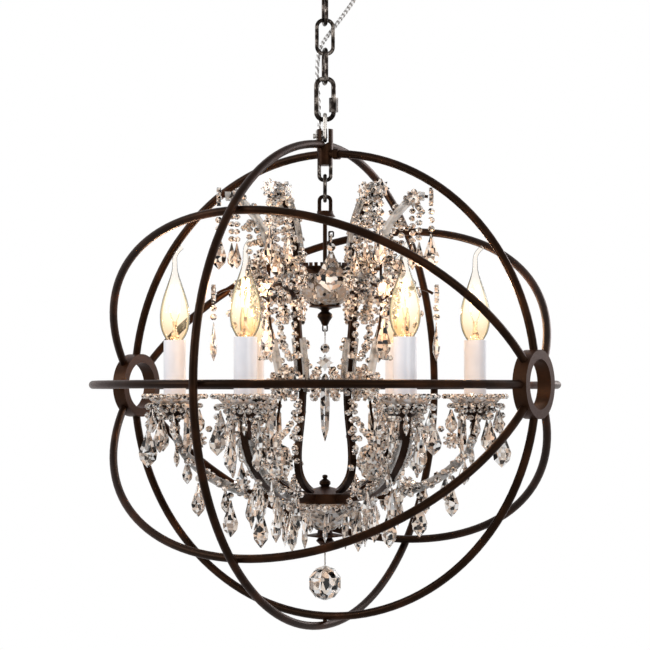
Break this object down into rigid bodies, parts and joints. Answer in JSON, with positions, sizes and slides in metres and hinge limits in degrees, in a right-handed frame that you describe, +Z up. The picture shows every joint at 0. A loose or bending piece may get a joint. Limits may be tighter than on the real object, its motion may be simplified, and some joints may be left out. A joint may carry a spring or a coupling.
{
  "type": "orb chandelier",
  "caption": "Hanging light: candle lamps on a crystal-hung frame inside a sphere of round metal rings, on a short chain under a ceiling canopy.",
  "frame": {"origin": "on the ceiling face, in the middle between the two fixing holes", "axes": "+Z up into the ceiling; +X along the axis of the two open hubs, towards the right one; lamp arms at 30 degrees from +X and every 60 degrees on"},
  "size_m": [0.5584, 0.578, 0.8089],
  "materials": {
    "iron": "dark bronze",
    "chain_metal": "antique nickel",
    "nickel": "satin",
    "crystal": "cut and polished",
    "lamp_glass": "clear",
    "sleeve": "satin white",
    "holder": "black",
    "cord": "clear sheath"
  },
  "bodies": {
    "ceiling": {"ceiling_crossbar": "iron", "hanger_nipple": "iron", "canopy_cup": "iron", "collar_ring": "iron", "canopy_loop": "chain_metal", "cord_bushing": "nickel", "supply_cord": "cord"},
    "link_one": {"chain_link_1": "chain_metal"},
    "link_two": {"chain_link_2": "chain_metal"},
    "link_three": {"chain_link_3": "chain_metal"},
    "quick": {"quick_link": "chain_metal"},
    "quick_nut": {"quick_link_nut": "chain_metal"},
    "eye": {"hanger_eye": "nickel"},
    "cage": {"top_collar": "iron", "thumb_screw": "nickel", "stirrup": "chain_metal", "cord_gland": "nickel", "ring_meridian": "iron", "ring_upright": "iron", "ring_tilt_left": "iron", "ring_tilt_right": "iron", "ring_equator": "iron", "hub_left": "iron", "hub_right": "iron", "ring_rivets": "iron", "ring_ferrule": "iron"},
    "inner_link": {"inner_link": "chain_metal"},
    "ball": {"ball_pendant": "crystal"},
    "spear": {"spear_pendant": "crystal"},
    "crown": {"crown_pendant": "crystal"},
    "lamp_1": {"bulb_1": "lamp_glass"},
    "lamp_2": {"bulb_2": "lamp_glass"},
    "lamp_3": {"bulb_3": "lamp_glass"},
    "lamp_4": {"bulb_4": "lamp_glass"},
    "lamp_5": {"bulb_5": "lamp_glass"},
    "lamp_6": {"bulb_6": "lamp_glass"},
    "chandelier": {"arm_glass": "crystal", "arm_wires": "cord", "bead_strands": "crystal", "bottom_cap": "iron", "candle_cups": "iron", "candle_sleeves": "sleeve", "centre_stem": "iron", "crown_cap": "iron", "drip_pans": "crystal", "frame_bars": "iron", "frame_glass": "crystal", "frame_spider": "iron", "gallery_ring": "iron", "glass_drops": "crystal", "glass_leaves": "crystal", "lamp_arms": "iron", "lampholders": "holder", "lower_bowl": "crystal", "lower_pan": "iron", "middle_arms": "iron", "pan_finial": "iron", "rosettes": "crystal", "upper_bowl": "crystal", "upper_finial": "iron"}
  },
  "joints": [
    {"name": "loop_swing", "type": "hinge", "parent": "ceiling", "child": "link_one", "pos_m": [0, 0, -0.0575], "axis": [0.766, 0.6428, 0], "range_deg": [-10, 10], "deforming": ["supply_cord"]},
    {"name": "first_link_swing", "type": "hinge", "parent": "link_one", "child": "link_two", "pos_m": [0, 0, -0.0923], "axis": [-0.6428, 0.766, 0], "range_deg": [-10, 10]},
    {"name": "second_link_swing", "type": "hinge", "parent": "link_two", "child": "link_three", "pos_m": [0, 0, -0.1273], "axis": [0.766, 0.6428, 0], "range_deg": [-10, 10]},
    {"name": "third_link_swing", "type": "hinge", "parent": "link_three", "child": "quick", "pos_m": [0, 0, -0.1623], "axis": [-0.6428, 0.766, 0], "range_deg": [-10, 10]},
    {"name": "quick_nut_travel", "type": "slide", "parent": "quick", "child": "quick_nut", "axis": [0, 0, 1], "range_m": [0, 0.009]},
    {"name": "quick_link_swing", "type": "hinge", "parent": "quick", "child": "eye", "pos_m": [0, 0, -0.2053], "axis": [0.866, 0.5, 0], "range_deg": [-10, 10]},
    {"name": "pin_swing", "type": "hinge", "parent": "eye", "child": "cage", "pos_m": [0, 0, -0.22505], "axis": [0.866, 0.5, 0], "range_deg": [-10, 10]},
    {"name": "stirrup_swing", "type": "hinge", "parent": "cage", "child": "inner_link", "pos_m": [0, 0, -0.27705], "axis": [0.866, 0.5, 0], "range_deg": [-4, 4]},
    {"name": "crown_swing", "type": "hinge", "parent": "inner_link", "child": "chandelier", "pos_m": [0, 0, -0.30155], "axis": [-0.5, 0.866, 0], "range_deg": [-4, 4]},
    {"name": "ball_swing", "type": "hinge", "parent": "chandelier", "child": "ball", "pos_m": [0, 0, -0.71735], "axis": [0.866, 0.5, 0], "range_deg": [-20, 20]},
    {"name": "spear_swing", "type": "hinge", "parent": "chandelier", "child": "spear", "pos_m": [0, 0, -0.45585], "axis": [0.866, 0.5, 0], "range_deg": [-15, 15]},
    {"name": "crown_pendant_swing", "type": "hinge", "parent": "chandelier", "child": "crown", "pos_m": [0.03109, -0.03979, -0.34785], "axis": [0.788, 0.6157, 0], "range_deg": [-1, 4]},
    {"name": "lamp_1_unscrew", "type": "slide", "parent": "chandelier", "child": "lamp_1", "axis": [0, 0, 1], "range_m": [0, 0.018]},
    {"name": "lamp_2_unscrew", "type": "slide", "parent": "chandelier", "child": "lamp_2", "axis": [0, 0, 1], "range_m": [0, 0.018]},
    {"name": "lamp_3_unscrew", "type": "slide", "parent": "chandelier", "child": "lamp_3", "axis": [0, 0, 1], "range_m": [0, 0.018]},
    {"name": "lamp_4_unscrew", "type": "slide", "parent": "chandelier", "child": "lamp_4", "axis": [0, 0, 1], "range_m": [0, 0.018]},
    {"name": "lamp_5_unscrew", "type": "slide", "parent": "chandelier", "child": "lamp_5", "axis": [0, 0, 1], "range_m": [0, 0.018]},
    {"name": "lamp_6_unscrew", "type": "slide", "parent": "chandelier", "child": "lamp_6", "axis": [0, 0, 1], "range_m": [0, 0.018]}
  ]
}
